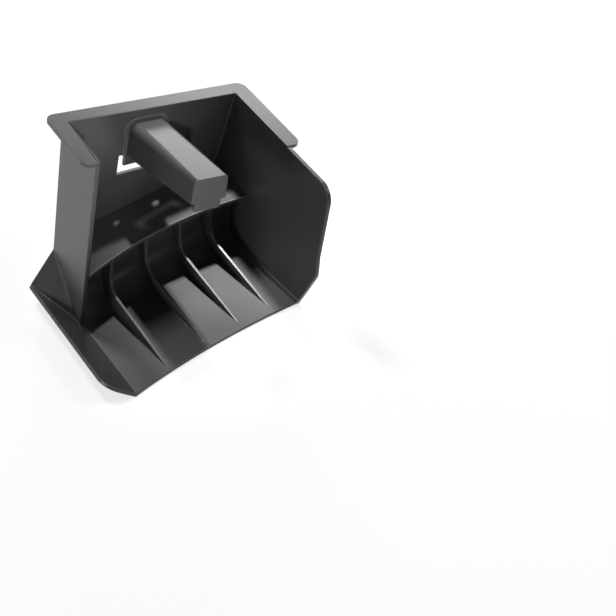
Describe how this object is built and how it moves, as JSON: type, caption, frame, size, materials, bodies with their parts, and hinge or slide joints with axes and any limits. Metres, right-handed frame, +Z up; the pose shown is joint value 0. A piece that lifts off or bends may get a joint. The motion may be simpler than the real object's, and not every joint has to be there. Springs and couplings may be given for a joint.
{
  "type": "mower mulching plug",
  "caption": "Moulded scoop that closes a mower's discharge chute: slanted collar, level shelf, ribbed floor plate, side flap and a hollow handle inside.",
  "frame": {"origin": "on the ground under the middle of the plug's box", "axes": "+X to the right along the floor plate's front edge, +Y to the back wall, +Z up out of the floor plate"},
  "size_m": [0.2028, 0.1571, 0.1437],
  "materials": {
    "charcoal_plastic": "satin moulded"
  },
  "bodies": {
    "root": {"mulching_plug": "charcoal_plastic"}
  },
  "joints": []
}
